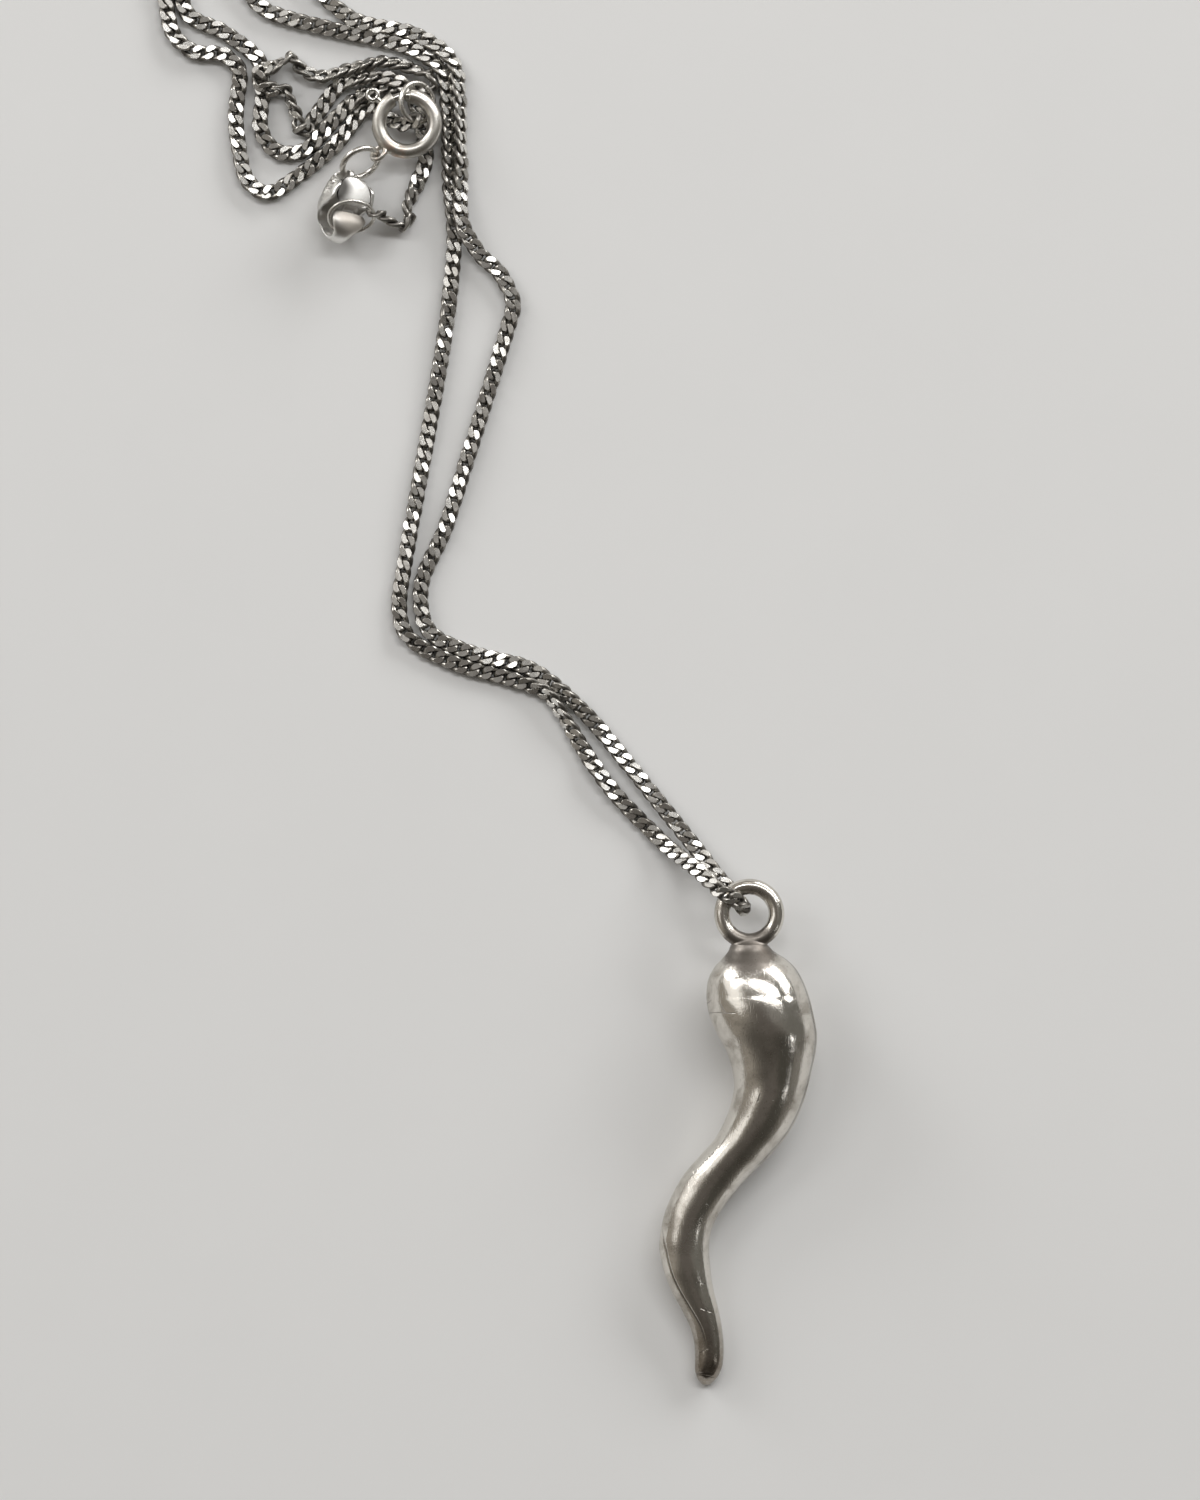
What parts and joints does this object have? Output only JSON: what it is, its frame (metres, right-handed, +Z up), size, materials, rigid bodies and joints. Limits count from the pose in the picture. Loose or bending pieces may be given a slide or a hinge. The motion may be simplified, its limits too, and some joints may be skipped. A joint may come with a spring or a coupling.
{
  "type": "horn pendant necklace with curb chain",
  "caption": "Silver horn pendant on a fine flat curb chain, lying in a loose heap, with a bolt ring and a lever clasp joined by jump rings.",
  "frame": {"origin": "on the table, under the middle of the lying piece's box", "axes": "+Z up from the table; +Y from the horn's tip towards the clasps and the neck loop; +X to the right as the picture shows it"},
  "size_m": [0.0533, 0.1461, 0.007],
  "materials": {
    "horn_silver": "polished silver worn and tarnished to grey",
    "chain_silver": "bright cut silver with dark gaps",
    "ring_silver": "worn silver with warm solder at its lower left",
    "clasp_silver": "polished silver"
  },
  "bodies": {
    "necklace": {"horn": "horn_silver", "chain": "chain_silver", "bolt_ring": "ring_silver", "chain_ring": "clasp_silver", "clasp_ring": "clasp_silver", "clasp_body": "clasp_silver", "clasp_pin": "horn_silver", "hook_ring": "clasp_silver"},
    "bolt": {"ring_bolt": "clasp_silver"},
    "lever": {"clasp_lever": "clasp_silver"}
  },
  "joints": [
    {"name": "bolt_slides_round", "type": "hinge", "parent": "necklace", "child": "bolt", "pos_m": [-0.0064, 0.0279, 0.0021], "axis": [0, 0, 1], "range_deg": [0, 36], "stiffness_Nm_per_rad": 0.0004, "springref_deg": -22.92},
    {"name": "lever_swings_in", "type": "hinge", "parent": "necklace", "child": "lever", "pos_m": [-0.01082, 0.02273, 0.00228], "axis": [0.8667, -0.1685, -0.4695], "range_deg": [0, 20], "stiffness_Nm_per_rad": 0.0004, "springref_deg": -22.92}
  ]
}
